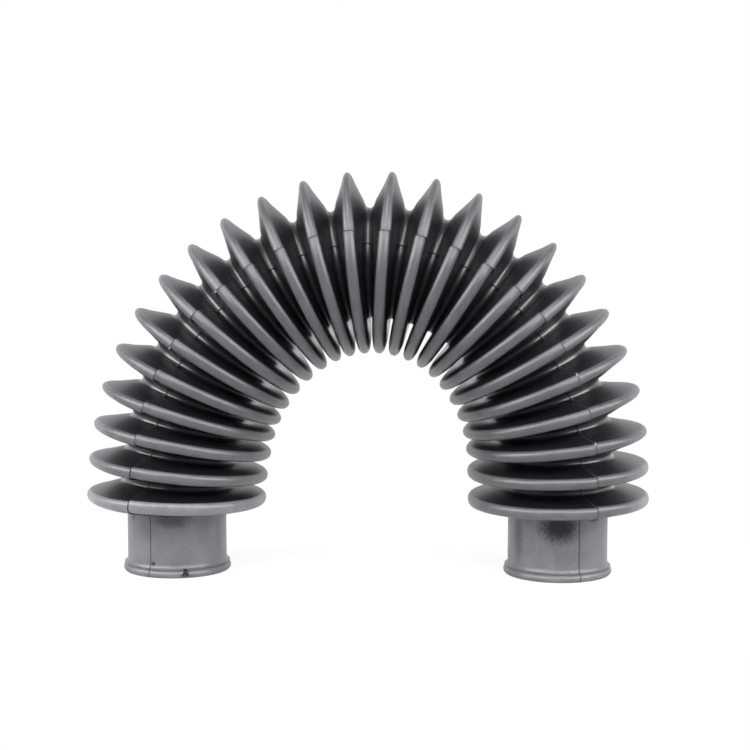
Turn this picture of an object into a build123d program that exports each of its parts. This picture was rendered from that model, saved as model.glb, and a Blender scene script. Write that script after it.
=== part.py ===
from build123d import *
import os
from math import atan2, cos, radians, tan

# A moulded rubber bellows boot, bent into an arch and standing on its two cuffs.
# Millimetres, +Z up. The arch lies in the XZ plane; the origin is on the floor, midway
# between the two cuffs, and the front is towards -Y.

# Driving dimensions: the cuffs
bore_diameter = 26.0
cuff_wall = 2.2
cuff_length = 18.6  # from the floor to the first flank
lip_radius = 1.3  # the half-round lip outside each cuff's mouth
crease_height = 2.3  # above this crease, the cuff's wall narrows in a hollow curve
flare_width = 1.0
flare_height = 2.1

# Driving dimensions: the folds
wall = 1.4  # rubber in the flanks and the valley floors
valley_step = 1.4  # the valley floors stand out this far from the cuffs
fold_depth = 10.9  # from a valley's floor to a fold's outer edge
rim_width = 2.7  # the outer edge of a fold
end_rim_width = 3.3  # the thicker edge of the fold beside each cuff
rim_wall = 1.5  # rubber behind the edge
rim_bevel = 0.7  # takes off the edge's two corners
valley_width = 1.4  # the floor of each valley
pitch = 9.0  # from fold to fold, along the bent centreline

# The bend, from the right cuff over the top to the left one: the length of each stretch of the
# centreline, and how much of the turn it makes, in degrees.
right_leg_length, right_leg_turn = 18.0, 2.7
right_shoulder_length, right_shoulder_turn = 45.0, 39.4
crown_length, crown_turn = 72.0, 78.1
left_shoulder_length, left_shoulder_turn = 54.0, 46.6
left_leg_length, left_leg_turn = 27.0, 13.2

stretches = [
    (right_leg_length, right_leg_turn),
    (right_shoulder_length, right_shoulder_turn),
    (crown_length, crown_turn),
    (left_shoulder_length, left_shoulder_turn),
    (left_leg_length, left_leg_turn),
]
bellows_length = sum(length for length, turn in stretches)
whole_turn = sum(turn for length, turn in stretches)

# The centreline: tangent arcs. Together they turn through 180 degrees, so that both ends
# point straight down.
with BuildLine(Plane.XZ) as bend:
    start, heading = Vector(0, 0, 0), Vector(0, 0, 1)
    for length, turn in stretches:
        angle = 180 * turn / whole_turn
        arc = JernArc(start, heading, length / radians(angle), angle)
        start, heading = arc @ 1, arc % 1
right_end, left_end = bend.line @ 0, bend.line @ 1
midway = (right_end.X + left_end.X) / 2
lower_end = min(right_end.Z, left_end.Z)
centreline = bend.wire().moved(Location((-midway, 0, cuff_length - lower_end)))
feet = [centreline @ 0, centreline @ 1]

bore_radius = bore_diameter / 2
cuff_radius = bore_radius + cuff_wall
flare_radius = (flare_width**2 + flare_height**2) / (2 * flare_width)
valley_radius = cuff_radius + valley_step
rim_radius = valley_radius + fold_depth
fold_count = round(bellows_length / pitch)
spacing = bellows_length / fold_count
fold_places = [(fold + 0.5) * spacing for fold in range(fold_count)]
upright = (Align.CENTER, Align.CENTER, Align.MIN)
outward = (Align.MIN, Align.MIN)


def section(distance, offset=0):
    """The plane across the centreline this far along it, then moved along its own normal."""
    at = centreline.position_at(distance, position_mode=PositionMode.LENGTH)
    along = centreline.tangent_at(distance, position_mode=PositionMode.LENGTH)
    return Plane(origin=at, x_dir=(0, 1, 0), z_dir=along).offset(offset)


def ring(plane, radius):
    with BuildSketch(plane) as circle:
        Circle(radius)
    return circle.sketch


def behind(foot_radius, foot_distance, inner_radius, edge_width):
    """Where the inner wall starts, at its own radius, to run one wall behind a flank.

    The flank rises from its foot, this far from the valley's middle, to the rim's corner."""
    lean = atan2((spacing - edge_width) / 2 - foot_distance, rim_radius - rim_bevel - foot_radius)
    return foot_distance + wall / cos(lean) - (foot_radius - inner_radius) * tan(lean)


# The passage through the boot: two bores, and a groove behind each fold.
crest_radius = valley_radius - wall
crest_edge = behind(valley_radius, valley_width / 2, crest_radius, rim_width)
# Each bore runs on this far past its cuff.
throat_rise = behind(cuff_radius, 0, bore_radius, end_rim_width)

groove_rings = [ring(section(0, throat_rise), bore_radius)]
for place in fold_places:
    groove_rings.append(ring(section(place), rim_radius - rim_wall))
    if place != fold_places[-1]:
        for side in (-crest_edge, crest_edge):
            groove_rings.append(ring(section(place + spacing / 2, side), crest_radius))
groove_rings.append(ring(section(bellows_length, -throat_rise), bore_radius))

with BuildPart() as passage:
    loft(groove_rings, ruled=True)
    for foot in feet:
        with Locations((foot.X, foot.Y, 0)):
            Cylinder(bore_radius, foot.Z + throat_rise, align=upright)

# The outside: a bevelled edge on each fold, and a narrow floor in each valley.
fold_rings = [ring(section(0), cuff_radius)]
for place in fold_places:
    beside_cuff = place in (fold_places[0], fold_places[-1])
    half_rim = (end_rim_width if beside_cuff else rim_width) / 2
    flat_edge = half_rim - rim_bevel
    fold_rings.append(ring(section(place, -half_rim), rim_radius - rim_bevel))
    fold_rings.append(ring(section(place, -flat_edge), rim_radius))
    fold_rings.append(ring(section(place, flat_edge), rim_radius))
    fold_rings.append(ring(section(place, half_rim), rim_radius - rim_bevel))
    if place != fold_places[-1]:
        for side in (-valley_width / 2, valley_width / 2):
            fold_rings.append(ring(section(place + spacing / 2, side), valley_radius))
fold_rings.append(ring(section(bellows_length), cuff_radius))

with BuildPart() as boot:
    loft(fold_rings, ruled=True)

    # The cuffs. Each wall spreads in a hollow curve down to a lip round the mouth.
    for foot in feet:
        face = foot.X + cuff_radius
        with BuildSketch(Plane.XZ):
            with Locations((face, crease_height)):
                Rectangle(flare_width, flare_height, align=outward)
            with Locations((face + flare_radius, crease_height + flare_height)):
                Circle(flare_radius, mode=Mode.SUBTRACT)
            with Locations((face, lip_radius)):
                Circle(lip_radius)
            with Locations((foot.X, 0)):
                Rectangle(cuff_radius, foot.Z, align=outward)
        revolve(axis=Axis((foot.X, foot.Y, 0), (0, 0, 1)))

    add(passage.part, mode=Mode.SUBTRACT)

boot.part.label = "bellows_boot"
os.makedirs("parts", exist_ok=True)
export_step(boot.part, "parts/bellows_boot.step")
print(f"{fold_count} folds, {spacing:.2f} mm apart")
print(f"cuffs at x = {feet[0].X:.3f} and {feet[1].X:.3f}, {feet[0].Z:.3f} and {feet[1].Z:.3f} mm long")
print(f"bores run to {feet[0].Z + throat_rise:.3f} and {feet[1].Z + throat_rise:.3f} mm above the floor")
print(f"volume {boot.part.volume:.0f} cubic mm, {boot.part.bounding_box()}")
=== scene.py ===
import math

import bmesh
import bpy
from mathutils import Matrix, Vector


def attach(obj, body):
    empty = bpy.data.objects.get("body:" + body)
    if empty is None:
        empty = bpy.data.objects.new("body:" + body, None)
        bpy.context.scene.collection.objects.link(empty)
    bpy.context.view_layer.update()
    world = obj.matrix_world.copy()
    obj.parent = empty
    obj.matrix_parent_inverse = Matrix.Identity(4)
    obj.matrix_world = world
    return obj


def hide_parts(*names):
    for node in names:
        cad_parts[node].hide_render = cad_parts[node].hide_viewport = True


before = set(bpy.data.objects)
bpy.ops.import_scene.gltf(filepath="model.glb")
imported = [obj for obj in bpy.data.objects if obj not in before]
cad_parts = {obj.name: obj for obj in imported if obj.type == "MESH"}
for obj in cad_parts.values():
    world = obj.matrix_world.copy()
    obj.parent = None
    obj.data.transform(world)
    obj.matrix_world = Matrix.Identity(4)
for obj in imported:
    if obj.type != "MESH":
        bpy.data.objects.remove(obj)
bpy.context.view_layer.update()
print("frame loaded:", len(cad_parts), "node")

# Sizes and places are in mm, and the angles in the dictionaries are in degrees.
mm = 0.001
near = 0.05  # points closer than this count as one place


def onlyActive(piece):
    if bpy.context.object and bpy.context.object.mode != "OBJECT":
        bpy.ops.object.mode_set(mode="OBJECT")
    bpy.ops.object.select_all(action="DESELECT")
    piece.select_set(True)
    bpy.context.view_layer.objects.active = piece


def applyPlace(piece):
    onlyActive(piece)
    bpy.ops.object.transform_apply(location=True, rotation=True, scale=True)


def applyModifier(piece, name, kind, **settings):
    onlyActive(piece)
    modifier = piece.modifiers.new(name, kind)
    for key, value in settings.items():
        setattr(modifier, key, value)
    bpy.ops.object.modifier_apply(modifier=name)


def ringTube(rings, columns, centre=(0, 0)):
    # An open tube: a circle, then each further ring extruded from the one before it.
    x, y = centre
    z, r = rings[0]
    inEdit = bpy.context.object and bpy.context.object.mode == "EDIT"
    bpy.ops.mesh.primitive_circle_add(vertices=columns, radius=r * mm, location=(x * mm, y * mm, z * mm))
    if not inEdit:
        applyPlace(bpy.context.object)
        bpy.ops.object.mode_set(mode="EDIT")
        bpy.ops.mesh.select_all(action="SELECT")
    for (z0, r0), (z1, r1) in zip(rings, rings[1:]):
        bpy.ops.mesh.extrude_region_move(TRANSFORM_OT_translate={"value": (0, 0, (z1 - z0) * mm)})
        if r1 != r0:
            size = r1 / r0
            bpy.ops.transform.resize(value=(size, size, 1), center_override=(x * mm, y * mm, z1 * mm))
    return bpy.context.object


def selectEdges(piece, places):
    # Edges with both ends in the same one of these places; a place is a test of a point in mm.
    bpy.ops.mesh.select_mode(type="EDGE")
    bpy.ops.mesh.select_all(action="DESELECT")
    edit = bmesh.from_edit_mesh(piece.data)
    for edge in edit.edges:
        if any(all(holds(vert.co / mm) for vert in edge.verts) for holds in places):
            edge.select_set(True)
    bmesh.update_edit_mesh(piece.data)


def polar(point, centre=(0, 0)):
    x, y = point.x - centre[0], point.y - centre[1]
    return math.hypot(x, y), math.degrees(math.atan2(y, x)) % 360


def bevelRings(piece, rings, reach, segments):
    def onRing(z, radius):
        return lambda point: abs(point.z - z) < near and abs(polar(point)[0] - radius) < near

    selectEdges(piece, [onRing(z, radius) for z, radius in rings])
    bpy.ops.mesh.bevel(offset=reach * mm, offset_type="OFFSET", segments=segments, affect="EDGES")


def faceOut():
    bpy.ops.mesh.select_all(action="SELECT")
    bpy.ops.mesh.normals_make_consistent(inside=False)


def storeShare(piece, name, shareOf):
    # A number on each point, for the material.
    share = piece.data.attributes.new(name, "FLOAT", "POINT")
    for vert, item in zip(piece.data.vertices, share.data):
        item.value = shareOf(vert.co / mm)


def weigh(piece, name, weightOf):
    group = piece.vertex_groups.new(name=name)
    for vert in piece.data.vertices:
        group.add([vert.index], weightOf(vert.co / mm), "REPLACE")


def between(value, low, high):
    # How far a value has come from one number to another, as a share.
    return min(1.0, max(0.0, (value - low) / (high - low)))


def eased(value, low, high):
    share = between(value, low, high)
    return share * share * (3 - 2 * share)


bend = {
    # The length of each stretch of the centreline and its share of the half turn, from the right
    # cuff over the top to the left one.
    "stretches": [(18.0, 2.7), (45.0, 39.4), (72.0, 78.1), (54.0, 46.6), (27.0, 13.2)],
    "pitch": 9.0,
    "cuffLength": 18.6,
    # By place along the boot, counted in folds: how far a fold leans towards the next one at the
    # front, how far it has slid towards it, how much bloom its rim has, which is least over the
    # arch, and how far the two halves of the mould were out of line.
    "leans": [(0, 0.0), (1, -1.5), (3, -1.6), (6, -0.4), (9, 0.9), (12, -0.6), (16, -3.4), (18, -2.9),
              (22, -1.3), (24, 0.0)],
    "slides": [(0, 0.0), (16, 0.0), (18, 0.5), (20, 0.45), (21.5, 0.0), (24, 0.0)],
    "blooms": [(0, 0.44), (2, 0.31), (20, 0.31), (22.5, 0.4), (23.5, 0.75)],
    "steps": [(0, 0.3), (4, 0.2), (6.5, -0.35), (11, -0.35), (15, 0.25), (18, 0.45), (24, 0.35)],
}


def walkBend():
    # Gives each fold's x, z, heading from upright and turn, then each cuff's x and height.
    shares = sum(share for length, share in bend["stretches"])
    x, z, heading = 0.0, 0.0, 0.0
    folds = []
    for length, share in bend["stretches"]:
        angle = math.pi * share / shares
        radius = length / angle
        pivotX, pivotZ = x - radius * math.cos(heading), z - radius * math.sin(heading)
        count = round(length / bend["pitch"])
        for k in range(count):
            at = heading + angle * (k + 0.5) / count
            folds.append((pivotX + radius * math.cos(at), pivotZ + radius * math.sin(at), at, angle / count))
        heading += angle
        x, z = pivotX + radius * math.cos(heading), pivotZ + radius * math.sin(heading)
    lift = bend["cuffLength"] - min(0.0, z)
    folds = [(foldX - x / 2, foldZ + lift, at, turn) for foldX, foldZ, at, turn in folds]
    return folds, [(-x / 2, lift), (x / 2, z + lift)]


def valueAt(stations, place):
    for (start, low), (end, high) in zip(stations, stations[1:]):
        if place <= end:
            return low + (high - low) * between(place, start, end)
    return stations[-1][1]


# A fold is made upright round the Z axis, with the inside of the bend towards +X and the front of
# the boot towards +Y.
fold = {
    "columns": 96,
    "rimRadius": 27.5,
    "rimWidth": 3.0,
    "endRimWidth": 3.5,  # the fold beside each cuff has a thicker edge
    "rimFlat": 0.35,  # half the width of the rim's flat middle
    "rimCrown": 0.22,  # how much higher that middle is than the rim's corners
    "rimRound": 0.8,
    "flankAt": (0.24, 0.48, 0.72, 0.9),  # rings up each flank, as shares of it
    "valleyRadius": 16.6,
    "floorHalf": 1.15,
    "valleyRound": 1.05,
    "cuffRadius": 15.2,
    "boreRadius": 13.0,
    "wall": 1.4,
    "rimWall": 1.5,
    "grooveRound": 0.6,
    "hinge": 1.45,  # this much at each end of a fold stays straight
    "bendDepths": (0.5, 10.5),  # the bend takes hold between these depths below the rim, which stays flat
    # What the tightest bend does to a fold: the share of the rim's width that is lost where it is
    # stretched and where it is squeezed, how far the rim's corners are drawn down at both of
    # those places, and how far the flanks bulge where they are squeezed.
    "fullTurn": 9.76,
    "stretchedLoss": 0.32,
    "squeezedLoss": 0.08,
    "cornerDrop": 0.45,
    "bulge": 0.75,
    # Where it does so: how far round to the outside and the inside of the bend, as shares of the
    # radius, and between which radii.
    "stretchedFrom": (0.4, 1.0),
    "squeezedFrom": (0.2, 0.9),
    "lossRadii": (20, 27),
    "bulgeRadii": (17.8, 26.8),
    "dropRadii": (26, 27.4),
}
half = bend["pitch"] / 2

# The mould's parting line, and the flash along it.
seam = {
    "angles": (112.5, 292.5),  # its two lines, from the inside of the bend round by the front
    "width": 0.5,
    "darkHalf": 0.15,  # half the width of its dark line, a darker trimmed line that is partly painted shadow of the flash
    "height": 0.16,
    "shoulder": 0.6,  # the ridge's height beside its middle, as a share
    # The flash stands up in the valleys and is trimmed nearly flush on the rim.
    "valleyRadii": (18, 17),
    "rimRadii": (26, 27),
    "rimShare": 0.3,
    "stepRadii": (20, 26),  # the mould's halves are out of line on the rims and not in the valleys
    "torn": {22: 1.3, 23: 0.9},  # folds whose rim has split along the seam, and how deep
    "tornBand": 0.9,  # how far below the top of the rim the split takes hold
    "tags": (2, 4, 16, 18),  # folds with a rag of flash left on the seam
    "tagSize": (0.4, 1.2),
}

# How bloom, painted sheen and gloss lie on the folds and cuffs.
wear = {
    "cuffBloom": 0.66,
    "fade": 0.2,  # the rim's bloom ends within this below its corner
    # Gloss at the foot of the folds: all round, then what is added by this share of the radius
    # towards the outside of the bend.
    "footRadii": (17.6, 16.9),
    "foot": 0.06,
    "outerFoot": 0.44,
    "outerFrom": 0.36,
    # Where the bend presses the folds together they shine further up.
    "pressedFrom": (16.6, 17.8),
    "pressedRadii": (23.5, 20.5),
    # Painted sheen on the outer end of each fold: pale paint that stands in for the light the fold ends
    # catch, fullest on the legs.
    "endSheen": 0.5,
    "endSheenFrom": (18.0, 27.0),
    # The shares of that painted sheen and of the gloss at the foot that go where the bend is tightest.
    "endSheenShed": 0.9,
    "glossLost": 0.6,
}


def lowerFlank(isEnd):
    # From the middle of the valley, or from the cuff, up to the rim's lower corner.
    rings = [(-half, fold["cuffRadius"])]
    if not isEnd:
        rings = [(-half, fold["valleyRadius"]), (-half + fold["floorHalf"], fold["valleyRadius"])]
    z0, r0 = rings[-1]
    z1, r1 = -fold["endRimWidth" if isEnd else "rimWidth"] / 2, fold["rimRadius"] - fold["rimCrown"]
    for u in fold["flankAt"]:
        rings.append((z0 + (z1 - z0) * u, r0 + (r1 - r0) * u))
    rings.append((z1, r1))
    return rings


def lowerGroove(isEnd):
    # The inner wall, one wall thickness behind the flank, out to the groove behind the rim.
    foot = fold["cuffRadius"] if isEnd else fold["valleyRadius"]
    start = 0 if isEnd else fold["floorHalf"]
    inner = fold["boreRadius"] if isEnd else foot - fold["wall"]
    lean = math.atan2(half - fold["rimWidth"] / 2 - start, fold["rimRadius"] - foot)
    edge = start + fold["wall"] / math.cos(lean) - (foot - inner) * math.tan(lean)
    return [(-half, inner), (-half + edge, inner), (0, fold["rimRadius"] - fold["rimWall"])]


def mirrored(rings):
    return [(-z, r) for z, r in reversed(rings)]


def isSeam(point, centre=(0, 0), angles=seam["angles"], reach=near):
    # Within this reach of the parting line.
    r, angle = polar(point, centre)
    return any(r * math.radians(abs(angle - line)) < reach for line in angles)


def widenSeam(piece, onSeam):
    # Turns the edge along the parting line into a narrow strip, and ends edit mode.
    selectEdges(piece, [onSeam])
    bpy.ops.mesh.bevel(offset=seam["width"] / 2 * mm, offset_type="OFFSET", segments=4, affect="EDGES")
    faceOut()
    bpy.ops.object.mode_set(mode="OBJECT")


def raiseFlash(piece, heightOf):
    weigh(piece, "ridge", heightOf)
    applyModifier(piece, "flash", "DISPLACE", direction="NORMAL", strength=seam["height"] * mm,
                  mid_level=0, vertex_group="ridge")


def storeFoldShares(piece):
    corner = fold["rimRadius"] - fold["rimCrown"] - fold["rimRound"]

    def bloom(point):
        r = polar(point)[0]
        if r < fold["cuffRadius"] + near:
            return wear["cuffBloom"]
        return between(r, corner - wear["fade"], corner)

    def foot(point):
        r = polar(point)[0]
        if r < fold["cuffRadius"] + near:
            return 0.0
        outside = between(-point.x / r, 0.0, wear["outerFrom"])
        return between(r, *wear["footRadii"]) * (wear["foot"] + wear["outerFoot"] * outside)

    def squeezed(point):
        return between(point.x, *wear["pressedFrom"]) * between(polar(point)[0], *wear["pressedRadii"])

    storeShare(piece, "rimShare", bloom)
    storeShare(piece, "seam", lambda point: float(isSeam(point, reach=seam["darkHalf"])))
    storeShare(piece, "groove", foot)
    storeShare(piece, "squeezed", squeezed)
    # Painted sheen: the outer ends of the folds are made paler, as if lit.
    storeShare(piece, "endSheen", lambda point: wear["endSheen"] * eased(-point.x, *wear["endSheenFrom"]))


def makeFold(name, lowEnd=False, highEnd=False):
    low, high = lowerFlank(lowEnd), mirrored(lowerFlank(highEnd))
    flat = [(-fold["rimFlat"], fold["rimRadius"]), (fold["rimFlat"], fold["rimRadius"])]
    piece = ringTube(low + flat + high, fold["columns"])
    piece.name = name
    bevelRings(piece, [low[-1], high[0]], fold["rimRound"], segments=3)
    valleys = [corner for corner, isEnd in ((low[1], lowEnd), (high[-2], highEnd)) if not isEnd]
    bevelRings(piece, valleys, fold["valleyRound"], segments=4)
    widenSeam(piece, isSeam)
    storeFoldShares(piece)

    def outOfLine(point):
        r, angle = polar(point)
        shifted = seam["angles"][0] < angle < seam["angles"][1] and not isSeam(point)
        return between(r, *seam["stepRadii"]) if shifted else 0.0

    def ridge(point):
        r = polar(point)[0]
        if r < fold["cuffRadius"] + near or not isSeam(point, reach=seam["darkHalf"]):
            return 0.0
        height = max(between(r, *seam["valleyRadii"]), seam["rimShare"] * between(r, *seam["rimRadii"]))
        return height if isSeam(point) else seam["shoulder"] * height

    weigh(piece, "outerHalf", outOfLine)
    raiseFlash(piece, ridge)

    bpy.ops.object.mode_set(mode="EDIT")
    low, high = lowerGroove(lowEnd), mirrored(lowerGroove(highEnd))
    ringTube(low + high[1:], fold["columns"])
    bevelRings(piece, [low[-1]], fold["grooveRound"], segments=2)
    bpy.ops.object.mode_set(mode="OBJECT")
    weigh(piece, "bend", lambda point: between(fold["rimRadius"] - polar(point)[0], *fold["bendDepths"]))
    return piece


def strainFold(piece, turn):
    # A bend stretches a fold to a narrow round nose on its outside, and squeezes it on its inside.
    amount = math.degrees(turn) / fold["fullTurn"]
    widest = fold["rimWidth"] / 2
    for vert in piece.data.vertices:
        x, y, z = vert.co / mm
        r = math.hypot(x, y)
        if r < fold["bulgeRadii"][0]:
            continue
        stretched = amount * eased(-x / r, *fold["stretchedFrom"])
        squeezed = amount * eased(x / r, *fold["squeezedFrom"])
        loss = fold["stretchedLoss"] * stretched + fold["squeezedLoss"] * squeezed
        z *= 1 - loss * between(r, *fold["lossRadii"])
        bulge = fold["bulge"] * squeezed * math.sin(math.pi * between(r, *fold["bulgeRadii"]))
        z += math.copysign(bulge, z)
        drop = (fold["cornerDrop"] * (stretched + squeezed) * (z / widest) ** 2
                * between(r, *fold["dropRadii"]))
        size = 1 - drop / r
        vert.co = Vector((x * size, y * size, z)) * mm


def leanFold(piece, number, turn):
    # No fold of a boot bent by hand stands quite square: it leans and slides along the bend.
    pivot = bend["pitch"] / turn
    for vert in piece.data.vertices:
        x, y, z = vert.co / mm
        along = math.atan2(z, pivot - x)
        place = number + 0.5 + along / turn
        shift = y * math.tan(math.radians(valueAt(bend["leans"], place))) + valueAt(bend["slides"], place)
        vert.co += Vector((math.sin(along), 0, math.cos(along))) * shift * mm


def addFlashTag(piece):
    # A small pointed rag beside the rim's far corner, at the front.
    width, length = seam["tagSize"]
    angle = math.radians(seam["angles"][0])
    r = fold["rimRadius"] - fold["rimRound"] / 2
    place = Vector((r * math.cos(angle), r * math.sin(angle), fold["rimWidth"] / 2 + length / 4))
    bpy.ops.mesh.primitive_cone_add(vertices=3, radius1=width * mm, depth=length * mm, location=place * mm)
    tag = bpy.context.object
    applyPlace(tag)
    storeShare(tag, "flashTag", lambda point: 1.0)
    onlyActive(piece)
    tag.select_set(True)
    bpy.ops.object.join()


def tearSeam(piece, depth):
    top = fold["rimRadius"] - seam["tornBand"]
    front = seam["angles"][:1]
    for vert in piece.data.vertices:
        r = polar(vert.co / mm)[0]
        if r > top and isSeam(vert.co / mm, angles=front, reach=seam["darkHalf"]):
            vert.co.xy *= 1 - depth / r


def fadeShares(piece, number, turn):
    # Each copy starts with full bloom, painted sheen and gloss; this brings them to what its place shows.
    rimBloom = valueAt(bend["blooms"], number + 0.5)
    for vert, share in zip(piece.data.vertices, piece.data.attributes["rimShare"].data):
        if vert.co.xy.length > fold["valleyRadius"] * mm:
            share.value *= rimBloom
    tightness = (math.degrees(turn) / fold["fullTurn"]) ** 2
    scales = {"squeezed": tightness, "endSheen": 1 - wear["endSheenShed"] * tightness,
              "groove": 1 - wear["glossLost"] * tightness}
    for name, scale in scales.items():
        for share in piece.data.attributes[name].data:
            share.value *= scale


def placeFold(straight, number, x, z, heading, turn):
    piece = straight.copy()
    piece.data = straight.data.copy()
    piece.name = f"fold{number}"
    bpy.context.collection.objects.link(piece)
    step = valueAt(bend["steps"], number + 0.5)
    applyModifier(piece, "step", "DISPLACE", direction="Z", strength=step * mm, mid_level=0,
                  vertex_group="outerHalf")
    fadeShares(piece, number, turn)
    if number in seam["torn"]:
        tearSeam(piece, seam["torn"][number])
    if number in seam["tags"]:
        addFlashTag(piece)
    strainFold(piece, turn)
    still = fold["hinge"] / bend["pitch"]
    applyModifier(piece, "bend", "SIMPLE_DEFORM", deform_method="BEND", deform_axis="Y", angle=turn,
                  limits=(still, 1 - still), vertex_group="bend")
    leanFold(piece, number, turn)
    piece.location = (x * mm, 0, z * mm)
    piece.rotation_euler = (0, heading, math.pi)
    applyPlace(piece)
    return piece


cuff = {
    "bands": (14.6, 10.6, 7.6),  # the heights of rings up its outside
    "flareTop": 4.4,  # below this it widens towards the lip
    "flareOut": 1.0,
    "flareSteps": 6,
    "flareGap": 0.35,  # the widening ends this far above the crease
    "creaseHeight": 2.3,
    "creaseDepth": 0.3,
    "creaseShape": [(0.12, 0.6), (0.0, 1.0), (-0.14, 0.5)],  # heights from its middle, shares of its depth
    "lipRadius": 16.5,
    "lipRound": 0.9,
    "lipGap": 0.05,  # half of what the lip's round stays below the crease
    "lipArc": (60, -91, -25),  # from near the lip's top round to the foot
    "footRing": 1.6,  # a ring in the flat foot, this far out from the bore
    "mouthRound": 0.35,
    "mouthBow": 0.3,  # how near the corner the middle of that rounding lies, as a share of it
    "boreRing": 9.0,  # the height of a ring in the bore
    "seamFrom": 1.8,  # the parting line starts this far out from the bore
    "bloomFrom": 0.5,  # and the bloom this far
    "flashFrom": 0.3,  # the flash is cut off below this height
    "flashShare": 0.5,  # and above it stands this high, as a share of the flash in a valley
    "notch": {"angle": -72.4, "height": 1.9, "size": (1.2, 1.2, 2.2)},  # torn out of the left cuff's lip
}


def cuffRings(top):
    outer, bore = fold["cuffRadius"], fold["boreRadius"]
    rings = [(top, outer)] + [(z, outer) for z in cuff["bands"]]
    low = cuff["creaseHeight"] + cuff["flareGap"]
    for step in range(cuff["flareSteps"] + 1):
        a = step / cuff["flareSteps"] * math.pi / 2
        rings.append((cuff["flareTop"] + (low - cuff["flareTop"]) * math.sin(a),
                      outer + cuff["flareOut"] * (1 - math.cos(a))))
    flared = outer + cuff["flareOut"]
    for rise, share in cuff["creaseShape"]:
        rings.append((cuff["creaseHeight"] + rise, flared - cuff["creaseDepth"] * share))
    middle = cuff["creaseHeight"] / 2 - cuff["lipGap"]
    for degrees in range(*cuff["lipArc"]):
        a = math.radians(degrees)
        rings.append((middle + middle * math.sin(a),
                      cuff["lipRadius"] - cuff["lipRound"] + cuff["lipRound"] * math.cos(a)))
    corner = cuff["mouthRound"]
    rings.append((0, bore + cuff["footRing"]))
    rings.append((0, bore + corner))
    rings.append((corner * cuff["mouthBow"], bore + corner * cuff["mouthBow"]))
    rings.append((corner, bore))
    rings.append((cuff["boreRing"], bore))
    rings.append((top, bore))
    return rings


def makeCuff(name, x, top, seamAngle):
    piece = ringTube(cuffRings(top), fold["columns"], centre=(x, 0))
    piece.name = name

    def depthOut(point):
        return polar(point, (x, 0))[0] - fold["boreRadius"]

    def onSeam(point, reach=near):
        angles = (seamAngle, seamAngle + 180)
        return depthOut(point) > cuff["seamFrom"] and isSeam(point, (x, 0), angles, reach)

    def ridge(point):
        return cuff["flashShare"] if onSeam(point) and cuff["flashFrom"] < point.z < top - near else 0.0

    def bloom(point):
        return wear["cuffBloom"] if depthOut(point) > cuff["bloomFrom"] else 0.0

    widenSeam(piece, onSeam)
    raiseFlash(piece, ridge)
    storeShare(piece, "rimShare", bloom)
    storeShare(piece, "seam", lambda point: float(onSeam(point, seam["darkHalf"])))
    return piece


def notchLip(boot, x):
    notch = cuff["notch"]
    angle = math.radians(notch["angle"])
    out = cuff["lipRadius"]
    place = Vector((x + out * math.cos(angle), out * math.sin(angle), notch["height"]))
    bpy.ops.mesh.primitive_cube_add(size=mm, location=place * mm, rotation=(0, 0, angle + math.pi / 4),
                                    scale=notch["size"])
    cutter = bpy.context.object
    applyPlace(cutter)
    storeShare(cutter, "seam", lambda point: 1.0)
    applyModifier(boot, "notch", "BOOLEAN", object=cutter, operation="DIFFERENCE", solver="EXACT")
    bpy.data.objects.remove(cutter)


def joinPieces(pieces):
    onlyActive(pieces[0])
    for piece in pieces:
        piece.select_set(True)
    bpy.ops.object.join()
    boot = bpy.context.object
    boot.name = "bellowsBoot"
    boot.data.name = "bellowsBoot"
    bpy.ops.object.mode_set(mode="EDIT")
    bpy.ops.mesh.select_mode(type="VERT")
    bpy.ops.mesh.select_all(action="SELECT")
    bpy.ops.mesh.remove_doubles(threshold=near * mm)
    faceOut()
    bpy.ops.object.mode_set(mode="OBJECT")
    boot.vertex_groups.clear()
    return boot


def reportBoot(boot):
    check = bmesh.new()
    check.from_mesh(boot.data)
    loose = sum(1 for edge in check.edges if len(edge.link_faces) != 2)
    triangles = sum(len(face.verts) - 2 for face in check.faces)
    print(f"boot joined: {triangles} triangles, {loose} open edges, volume {check.calc_volume() / mm**3:.0f}")
    check.free()


smoothAngle = 38  # edges sharper than this stay crisp


def makeBoot():
    folds, (rightCuff, leftCuff) = walkBend()
    straight = {
        "first": makeFold("firstFold", lowEnd=True),
        "middle": makeFold("middleFold"),
        "last": makeFold("lastFold", highEnd=True),
    }
    print("straight folds made")
    pieces = []
    for number, place in enumerate(folds):
        kind = "first" if number == 0 else "last" if number == len(folds) - 1 else "middle"
        pieces.append(placeFold(straight[kind], number, *place))
    for piece in straight.values():
        bpy.data.objects.remove(piece)
    print(len(folds), "folds placed")
    line = seam["angles"][0]
    pieces.append(makeCuff("rightCuff", *rightCuff, line))
    pieces.append(makeCuff("leftCuff", *leftCuff, 180 - line))  # the bend turns the line over
    boot = joinPieces(pieces)
    notchLip(boot, leftCuff[0])
    onlyActive(boot)
    bpy.ops.object.shade_smooth_by_angle(angle=math.radians(smoothAngle))
    reportBoot(boot)
    return boot


def linear(hexText):
    parts = [int(hexText[k:k + 2], 16) / 255 for k in (1, 3, 5)]
    return [c / 12.92 if c <= 0.04045 else ((c + 0.055) / 1.055) ** 2.4 for c in parts] + [1.0]


def addNode(tree, kind, values=None, links=None, **settings):
    # Where sockets share a name they go by number: on Map Range 0 is the value, 1 and 2 the range it
    # comes from, 3 and 4 the one it goes to; on Mix 0 is the factor, 2 and 3 numbers, 6 and 7 colours.
    node = tree.nodes.new(kind)
    for key, value in settings.items():
        setattr(node, key, value)
    for socket, value in (values or {}).items():
        node.inputs[socket].default_value = value
    for socket, source in (links or {}).items():
        tree.links.new(source, node.inputs[socket])
    return node


def newMaterial(name):
    material = bpy.data.materials.new(name)
    material.use_nodes = True
    material.node_tree.nodes.clear()
    return material, material.node_tree


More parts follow.
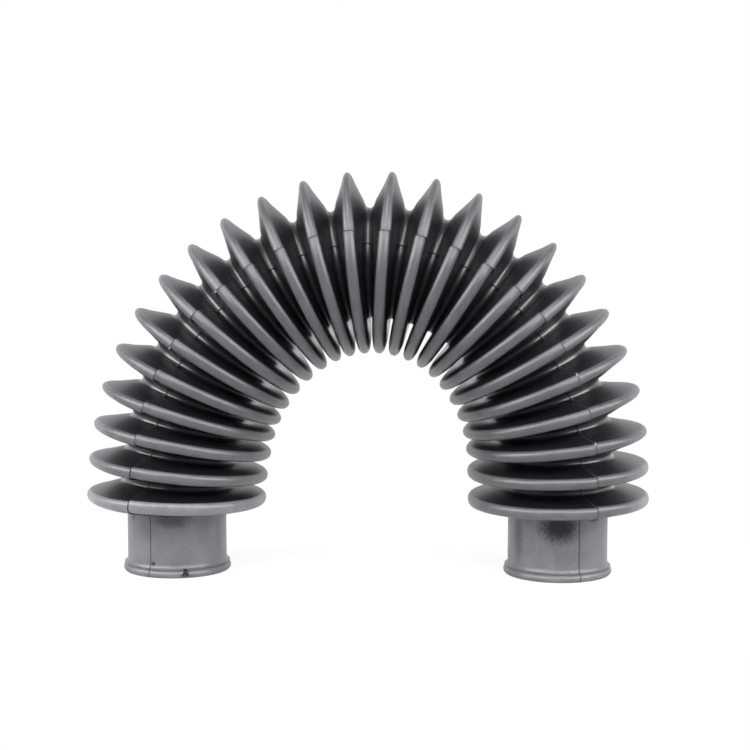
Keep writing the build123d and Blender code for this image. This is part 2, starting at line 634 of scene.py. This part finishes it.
rubber = {
    "black": "#111418",
    "bloom": "#727377",
    # The parting line is painted darker: partly the trimmed line's own colour, partly painted shadow of the
    # flash beside it.
    "seam": "#161618",
    "flash": "#8e8e8a",
    "grain": 0.45,  # the mould's blasted skin is finer; drawn this coarse so that it shows
    "grainHeight": 0.06,
    "grainStrength": (0.5, 0.05),  # on the flanks, and in the glossy valleys
    "mottle": 6.0,  # the size of a cloud in the bloom
    "noiseRange": (0.3, 0.7),  # what a noise mostly spans
    "mottled": (0.8, 1.1),  # what the mottle and the grain make of the bloom, at least and at most
    "speckled": (0.84, 1.13),
    "seamStrength": 0.8,
    "flankRoughness": 0.36,
    "dustyRoughness": 0.4,
    "grooveRoughness": 0.2,
    "seamRoughness": 0.8,
    "ior": 1.66,  # plain rubber has about 1.52; carbon black and wax lift its sheen
    "film": 0.85,  # how much of a smooth waxy film lies on the glossiest places
    "filmRoughness": 0.2,
    "filmIor": 1.9,
    "patchEdge": 0.9,  # the size of the rags round the edge of each darkened patch
    "patchFade": (0.85, 1.9),
    # Where the cuffs lose their bloom: the middle and half size of each patch, and how far it goes.
    "paintedShadeAndMarks": [
        # The first four are painted shade and painted reflection: a dark patch under each cuff's flange and a
        # dark upright band on each cuff.
        ((58.4, -15.2, 16.6), (6.0, 6.0, 4.6), 1.0),
        ((46.4, -8.9, 12.5), (1.6, 2.6, 7.0), 0.5),
        ((-58.2, -15.2, 17.6), (5.4, 5.4, 2.4), 0.65),
        ((-44.9, -6.5, 11.0), (1.0, 1.8, 6.0), 0.25),
        # The last three are small dark marks.
        ((-63.7, -14.6, 4.2), (0.7, 0.7, 0.8), 1.0),
        ((-70.4, -9.6, 18.0), (0.8, 0.8, 1.3), 1.0),
        ((69.2, -11.0, 18.3), (2.0, 2.0, 0.5), 1.0),
    ],
}


def addBloom(tree, place, grain):
    # How much bloom shows: on rims and cuffs, with painted sheen on the fold ends, mottled and speckled, less
    # the patches of painted shade and the small dark marks.
    rim = addNode(tree, "ShaderNodeAttribute", attribute_name="rimShare").outputs["Fac"]
    endSheen = addNode(tree, "ShaderNodeAttribute", attribute_name="endSheen").outputs["Fac"]
    mottle = addNode(tree, "ShaderNodeTexNoise", {"Scale": 1 / (rubber["mottle"] * mm), "Detail": 3.0},
                     {"Vector": place})
    low, high = rubber["noiseRange"]
    least, most = rubber["mottled"]
    patches = addNode(tree, "ShaderNodeMapRange", {1: low, 2: high, 3: least, 4: most},
                      {0: mottle.outputs["Fac"]})
    least, most = rubber["speckled"]
    specks = addNode(tree, "ShaderNodeMapRange", {1: low, 2: high, 3: least, 4: most}, {0: grain})
    uneven = addNode(tree, "ShaderNodeMath", None, {0: patches.outputs[0], 1: specks.outputs[0]},
                     operation="MULTIPLY")
    dusted = addNode(tree, "ShaderNodeMath", None, {0: rim, 1: endSheen}, operation="ADD")
    bloomed = addNode(tree, "ShaderNodeMath", None, {0: dusted.outputs[0], 1: uneven.outputs[0]},
                      operation="MULTIPLY")
    ragged = addNode(tree, "ShaderNodeTexNoise", {"Scale": 1 / (rubber["patchEdge"] * mm), "Detail": 3.0},
                     {"Vector": place})
    inner, outer = rubber["patchFade"]
    # Patches of painted shade and painted reflection, and small dark marks, take the bloom away.
    for centre, size, darkening in rubber["paintedShadeAndMarks"]:
        away = addNode(tree, "ShaderNodeVectorMath", {1: [c * mm for c in centre]}, {0: place},
                       operation="SUBTRACT")
        scaled = addNode(tree, "ShaderNodeVectorMath", {1: [c * mm for c in size]}, {0: away.outputs[0]},
                         operation="DIVIDE")
        reach = addNode(tree, "ShaderNodeVectorMath", None, {0: scaled.outputs[0]}, operation="LENGTH")
        edge = addNode(tree, "ShaderNodeMath", None, {0: reach.outputs["Value"], 1: ragged.outputs["Fac"]},
                       operation="ADD")
        left = addNode(tree, "ShaderNodeMapRange", {1: inner, 2: outer, 3: 1 - darkening, 4: 1.0},
                       {0: edge.outputs[0]}, interpolation_type="SMOOTHSTEP")
        bloomed = addNode(tree, "ShaderNodeMath", None, {0: bloomed.outputs[0], 1: left.outputs[0]},
                          operation="MULTIPLY")
    return bloomed.outputs[0]


def mouldedRubber():
    # Carbon-black rubber from a blasted mould: deep satin black on the flanks, glossy at the foot of
    # the folds, and under a pale dusty bloom on the rims and cuffs.
    material, tree = newMaterial("mouldedRubber")
    place = addNode(tree, "ShaderNodeTexCoord").outputs["Object"]
    line = addNode(tree, "ShaderNodeAttribute", attribute_name="seam").outputs["Fac"]
    grain = addNode(tree, "ShaderNodeTexNoise", {"Scale": 1 / (rubber["grain"] * mm), "Detail": 2.0},
                    {"Vector": place}).outputs["Fac"]
    bloomed = addBloom(tree, place, grain)

    colour = addNode(tree, "ShaderNodeMix", {6: linear(rubber["black"]), 7: linear(rubber["bloom"])},
                     {0: bloomed}, data_type="RGBA")
    # Darkens the parting line, partly as painted shadow of the flash.
    faint = addNode(tree, "ShaderNodeMapRange", {3: 0.0, 4: rubber["seamStrength"]}, {0: line})
    lined = addNode(tree, "ShaderNodeMix", {7: linear(rubber["seam"])},
                    {0: faint.outputs[0], 6: colour.outputs[2]}, data_type="RGBA")
    tag = addNode(tree, "ShaderNodeAttribute", attribute_name="flashTag").outputs["Fac"]
    tagged = addNode(tree, "ShaderNodeMix", {7: linear(rubber["flash"])}, {0: tag, 6: lined.outputs[2]},
                     data_type="RGBA")

    foot = addNode(tree, "ShaderNodeAttribute", attribute_name="groove").outputs["Fac"]
    squeezed = addNode(tree, "ShaderNodeAttribute", attribute_name="squeezed").outputs["Fac"]
    groove = addNode(tree, "ShaderNodeMath", None, {0: foot, 1: squeezed}, operation="MAXIMUM").outputs[0]
    rough = addNode(tree, "ShaderNodeMapRange", {3: rubber["flankRoughness"], 4: rubber["dustyRoughness"]},
                    {0: bloomed})
    polished = addNode(tree, "ShaderNodeMix", {3: rubber["grooveRoughness"]},
                       {0: groove, 2: rough.outputs[0]}, data_type="FLOAT")
    dulled = addNode(tree, "ShaderNodeMix", {3: rubber["seamRoughness"]},
                     {0: line, 2: polished.outputs[0]}, data_type="FLOAT")
    film = addNode(tree, "ShaderNodeMapRange", {3: 0.0, 4: rubber["film"]}, {0: groove})
    onFlank, inValley = rubber["grainStrength"]
    blasted = addNode(tree, "ShaderNodeMapRange", {3: onFlank, 4: inValley}, {0: groove})
    relief = addNode(tree, "ShaderNodeBump", {"Distance": rubber["grainHeight"] * mm},
                     {"Strength": blasted.outputs[0], "Height": grain})
    skin = addNode(tree, "ShaderNodeBsdfPrincipled",
                   {"IOR": rubber["ior"], "Coat Roughness": rubber["filmRoughness"],
                    "Coat IOR": rubber["filmIor"]},
                   {"Coat Weight": film.outputs[0], "Base Color": tagged.outputs[2],
                    "Roughness": dulled.outputs[0], "Normal": relief.outputs[0]})
    addNode(tree, "ShaderNodeOutputMaterial", None, {"Surface": skin.outputs[0]})
    return material


studio = {
    "floorSize": 6000.0,
    "floorColour": "#ffffff",
    "floorGlow": 0.82,  # how much of the floor near the boot is white whatever falls on it
    "shadowReach": 80.0,  # the rest of it shows the boot's shadow, fully up to this far from its middle
    "shadowFade": 150.0,  # and not at all beyond this
    "worldLight": 0.27,
    # The rubber mirrors a dim room in front of it and above it.
    "dimFloor": "#6a6a6a",
    "dimRoom": 0.25,
    "floorEdge": (-40.0, 60.0),  # the floor turns from dim to white between these places along Y
    "roomEdge": (-0.7, 0.1),  # and the room between these backward shares of a direction
    "skyEdge": (0.35, 0.7),  # it grows dim again above, between these upward shares of a direction
    "lampAim": (0, 0, 60),
}
lamps = {
    "leftLamp": {"place": (-600, -380, 500), "size": (1100, 520), "watts": 10.2},
    "rightLamp": {"place": (600, -380, 500), "size": (1100, 520), "watts": 9.6},
    "topLamp": {"place": (0, -420, 800), "size": (460, 1060), "watts": 6.2},
    "backLamp": {"place": (0, 700, 400), "size": (1100, 600), "watts": 4.5},
}


def seenDirectly(tree):
    # 1 for camera, mirror and glass rays, 0 for the light that the object gathers.
    path = addNode(tree, "ShaderNodeLightPath")
    first = addNode(tree, "ShaderNodeMath", None,
                    {0: path.outputs["Is Camera Ray"], 1: path.outputs["Is Glossy Ray"]}, operation="MAXIMUM")
    glass = path.outputs["Is Transmission Ray"]
    return addNode(tree, "ShaderNodeMath", None, {0: first.outputs[0], 1: glass},
                   operation="MAXIMUM").outputs[0]


def inFront(tree, direction, low, high):
    # The share of a direction or place that lies on the camera's side.
    parts = addNode(tree, "ShaderNodeSeparateXYZ", None, {0: direction})
    return addNode(tree, "ShaderNodeMapRange", {1: low, 2: high, 3: 1.0, 4: 0.0},
                   {0: parts.outputs["Y"]}).outputs[0]


def whiteSweep():
    material, tree = newMaterial("whiteSweep")
    place = addNode(tree, "ShaderNodeTexCoord").outputs["Object"]
    gloss = addNode(tree, "ShaderNodeLightPath").outputs["Is Glossy Ray"]
    low, high = (edge * mm for edge in studio["floorEdge"])
    dim = addNode(tree, "ShaderNodeMath", None, {0: gloss, 1: inFront(tree, place, low, high)},
                  operation="MULTIPLY").outputs[0]
    bright = addNode(tree, "ShaderNodeMath", {0: 1.0}, {1: dim}, operation="SUBTRACT").outputs[0]
    reach = addNode(tree, "ShaderNodeVectorMath", None, {0: place}, operation="LENGTH")
    fade = addNode(tree, "ShaderNodeMapRange",
                   {1: studio["shadowReach"] * mm, 2: studio["shadowFade"] * mm, 3: studio["floorGlow"]},
                   {0: reach.outputs["Value"]}, interpolation_type="SMOOTHSTEP")
    white = addNode(tree, "ShaderNodeMath", None, {0: fade.outputs[0], 1: seenDirectly(tree)},
                    operation="MULTIPLY")
    share = addNode(tree, "ShaderNodeMath", None, {0: white.outputs[0], 1: bright}, operation="MULTIPLY")
    colour = addNode(tree, "ShaderNodeMix", {6: linear(studio["floorColour"]), 7: linear(studio["dimFloor"])},
                     {0: dim}, data_type="RGBA")
    matte = addNode(tree, "ShaderNodeBsdfDiffuse", None, {"Color": colour.outputs[2]})
    glow = addNode(tree, "ShaderNodeEmission", {"Strength": 1.0})
    surface = addNode(tree, "ShaderNodeMixShader", None,
                      {0: share.outputs[0], 1: matte.outputs[0], 2: glow.outputs[0]})
    addNode(tree, "ShaderNodeOutputMaterial", None, {"Surface": surface.outputs[0]})
    return material


def makeFloor():
    bpy.ops.object.select_all(action="DESELECT")
    bpy.ops.mesh.primitive_plane_add(size=studio["floorSize"] * mm)
    floor = bpy.context.object
    floor.name = "floor"
    floor.data.materials.append(whiteSweep())


def makeWorld():
    world = bpy.data.worlds.new("studioWorld")
    bpy.context.scene.world = world
    world.use_nodes = True
    tree = world.node_tree
    tree.nodes.clear()
    direction = addNode(tree, "ShaderNodeTexCoord").outputs["Generated"]
    parts = addNode(tree, "ShaderNodeSeparateXYZ", None, {0: direction})
    low, high = studio["skyEdge"]
    above = addNode(tree, "ShaderNodeMapRange", {1: low, 2: high}, {0: parts.outputs["Z"]})
    gloss = addNode(tree, "ShaderNodeLightPath").outputs["Is Glossy Ray"]
    front = inFront(tree, direction, *studio["roomEdge"])
    room = addNode(tree, "ShaderNodeMath", None, {0: front, 1: above.outputs[0]}, operation="MAXIMUM")
    dim = addNode(tree, "ShaderNodeMath", None, {0: room.outputs[0], 1: gloss}, operation="MULTIPLY")
    around = addNode(tree, "ShaderNodeMapRange", {3: 1.0, 4: studio["dimRoom"]}, {0: dim.outputs[0]})
    strength = addNode(tree, "ShaderNodeMapRange", {3: studio["worldLight"]},
                       {0: seenDirectly(tree), 4: around.outputs[0]})
    sky = addNode(tree, "ShaderNodeBackground", {"Color": (1, 1, 1, 1)}, {"Strength": strength.outputs[0]})
    addNode(tree, "ShaderNodeOutputWorld", None, {"Surface": sky.outputs[0]})


def placeLamps():
    aim = Vector(studio["lampAim"]) * mm
    for name, lamp in lamps.items():
        place = Vector(lamp["place"]) * mm
        bpy.ops.object.light_add(type="AREA", location=place)
        light = bpy.context.object
        light.name = name
        light.rotation_euler = (place - aim).to_track_quat("Z", "Y").to_euler()
        light.data.shape = "RECTANGLE"
        light.data.size, light.data.size_y = (side * mm for side in lamp["size"])
        light.data.energy = lamp["watts"]
        light.visible_camera = False
        light.visible_glossy = name != "backLamp"  # it lifts the far side and leaves no glint on this one


shot = {
    "target": (2.68, 0.0, 60.49),
    "distance": 538.9,
    "azimuth": 3.1,
    "elevation": 5.96,
    "lens": 84.75,
    "sensor": 36.0,
    "nearest": 10.0,
    "farthest": 20000.0,
}


def placeCamera():
    turn, rise = math.radians(shot["azimuth"]), math.radians(shot["elevation"])
    back = Vector((math.sin(turn) * math.cos(rise), -math.cos(turn) * math.cos(rise), math.sin(rise)))
    bpy.ops.object.camera_add(location=(Vector(shot["target"]) + back * shot["distance"]) * mm)
    camera = bpy.context.object
    camera.name = "shotCamera"
    camera.rotation_euler = back.to_track_quat("Z", "Y").to_euler()
    camera.data.sensor_width = shot["sensor"]
    camera.data.lens = shot["lens"]
    camera.data.clip_start = shot["nearest"] * mm
    camera.data.clip_end = shot["farthest"] * mm
    bpy.context.scene.camera = camera


boot = makeBoot()
boot.data.materials.clear()
boot.data.materials.append(mouldedRubber())
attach(boot, "root")
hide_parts("bellows_boot")
print("boot finished in moulded rubber")

makeFloor()
makeWorld()
placeLamps()
placeCamera()
bpy.context.scene.view_settings.view_transform = "Standard"
print("studio set")
